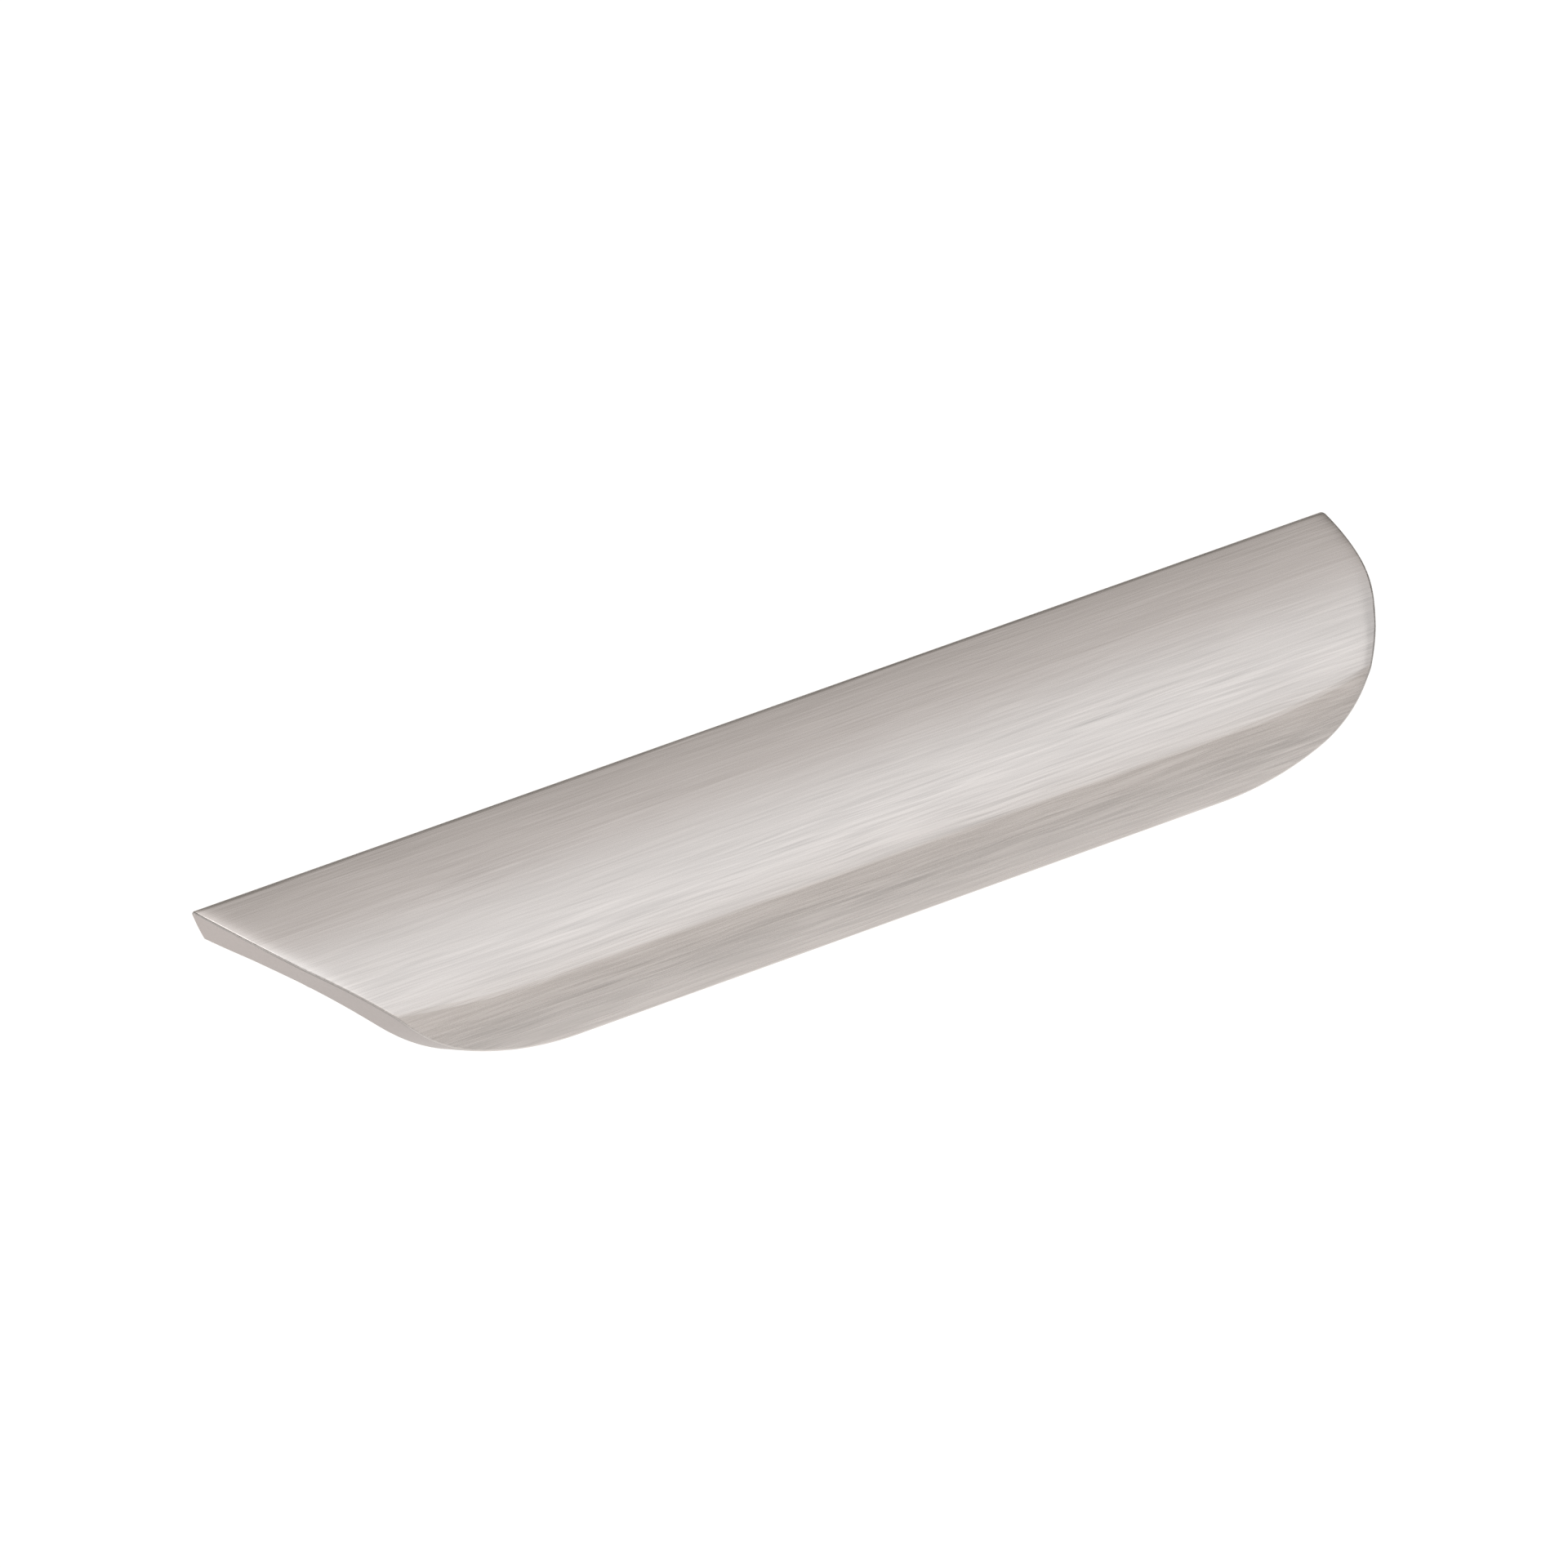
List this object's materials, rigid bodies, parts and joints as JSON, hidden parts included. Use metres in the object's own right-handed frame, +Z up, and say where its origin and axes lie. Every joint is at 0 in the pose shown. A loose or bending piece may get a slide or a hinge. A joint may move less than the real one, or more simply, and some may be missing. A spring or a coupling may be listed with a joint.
{
  "type": "cabinet pull",
  "caption": "Visor-shaped pull for a drawer or cabinet door: a curved shelf with a soft crease, a down-turned front lip, swept-back ends and a finger scoop underneath, screwed on from behind",
  "frame": {"origin": "half way between the two screw holes, on the plane of the drawer front", "axes": "X along the pull, +Y into the drawer front, +Z up; the pull stands out towards -Y"},
  "size_m": [0.1518, 0.0265, 0.0158],
  "materials": {
    "satin_nickel": "brushed satin nickel plating, the brush lines along the pull"
  },
  "bodies": {
    "root": {"pull_body": "satin_nickel"}
  },
  "joints": []
}
